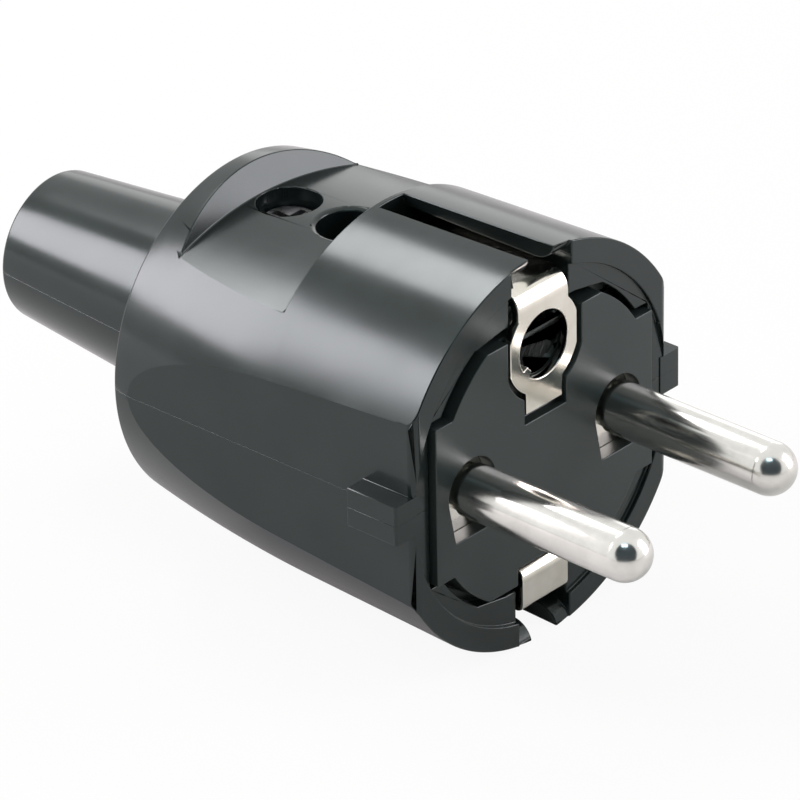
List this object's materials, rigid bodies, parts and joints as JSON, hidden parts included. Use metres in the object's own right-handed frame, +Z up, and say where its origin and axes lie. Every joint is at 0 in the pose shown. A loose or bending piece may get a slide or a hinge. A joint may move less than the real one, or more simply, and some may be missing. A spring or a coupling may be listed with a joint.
{
  "type": "straight rewirable mains plug",
  "caption": "Straight two-pin earthed mains plug in two half shells, with a female earth contact, side earth clips and an axial cord inlet.",
  "frame": {"origin": "centre of the engagement face, on the plug's axis, midway between the two pins", "axes": "+X from the left pin to the right pin seen from the front, +Y back along the axis to the cord inlet, +Z up towards the earth contact; the pins point along -Y"},
  "size_m": [0.037, 0.0775, 0.0372],
  "materials": {
    "shell_black": "moulded, semi gloss",
    "carrier_black": "moulded, satin",
    "nickel_pin": "turned and nickel plated, bright",
    "nickel_block": "nickel plated, satin",
    "nickel_strip": "nickel plated sheet, satin",
    "zinc_screw": "zinc plated",
    "brass_insert": "turned",
    "clamp_grey": "moulded"
  },
  "bodies": {
    "root": {"upper_shell": "shell_black", "lower_shell": "shell_black", "contact_carrier": "carrier_black", "left_pin": "nickel_pin", "right_pin": "nickel_pin", "left_terminal_block": "nickel_block", "right_terminal_block": "nickel_block", "left_terminal_screw": "zinc_screw", "right_terminal_screw": "zinc_screw", "upper_earth_strip": "nickel_strip", "lower_earth_strip": "nickel_strip", "earth_sleeve": "nickel_strip", "earth_bridge": "nickel_strip", "earth_rivet": "nickel_strip", "earth_washer": "zinc_screw", "earth_terminal_screw": "zinc_screw", "earth_nut": "nickel_block", "housing_screw": "zinc_screw", "housing_insert": "brass_insert", "cord_clamp_screw": "zinc_screw", "cord_clamp_insert": "brass_insert", "cord_clamp_saddle": "clamp_grey"}
  },
  "joints": []
}
